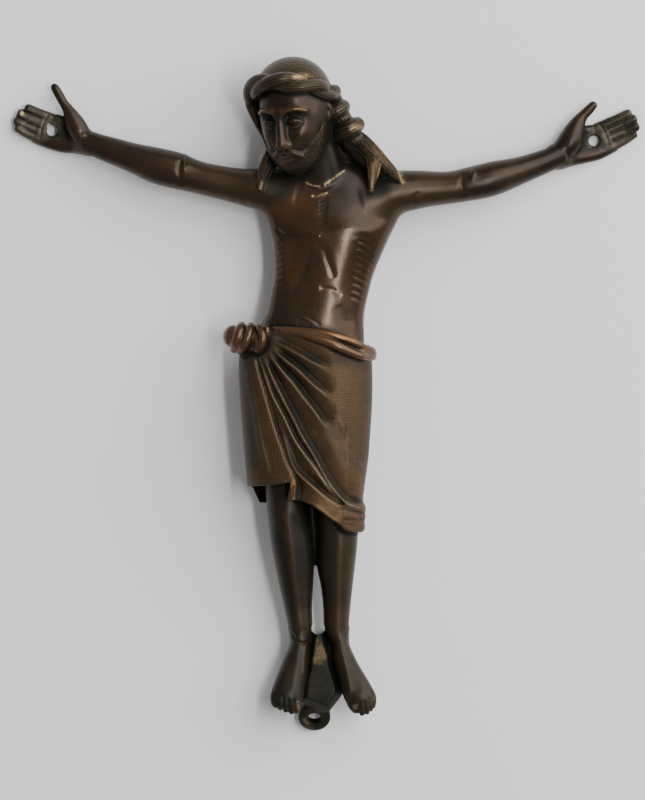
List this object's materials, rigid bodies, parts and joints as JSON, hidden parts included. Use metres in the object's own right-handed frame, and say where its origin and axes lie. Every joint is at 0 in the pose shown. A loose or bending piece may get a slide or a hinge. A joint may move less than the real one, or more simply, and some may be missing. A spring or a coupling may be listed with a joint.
{
  "type": "crucifix corpus figure",
  "caption": "Cast bronze corpus of a crucifix: a figure in a knotted loincloth with outstretched arms, pierced palms and a footrest with a lug, lying on its back.",
  "frame": {"origin": "under the middle of the figure's box, on the plane of its back", "axes": "+X to the viewer's right, +Y from the feet towards the head, +Z out of the chest"},
  "size_m": [0.1866, 0.2024, 0.0353],
  "materials": {
    "bronze": "dark brown patina, polished by handling, rubbed golden on crests and edges and black-green in hollows"
  },
  "bodies": {
    "root": {"corpus": "bronze"}
  },
  "joints": []
}
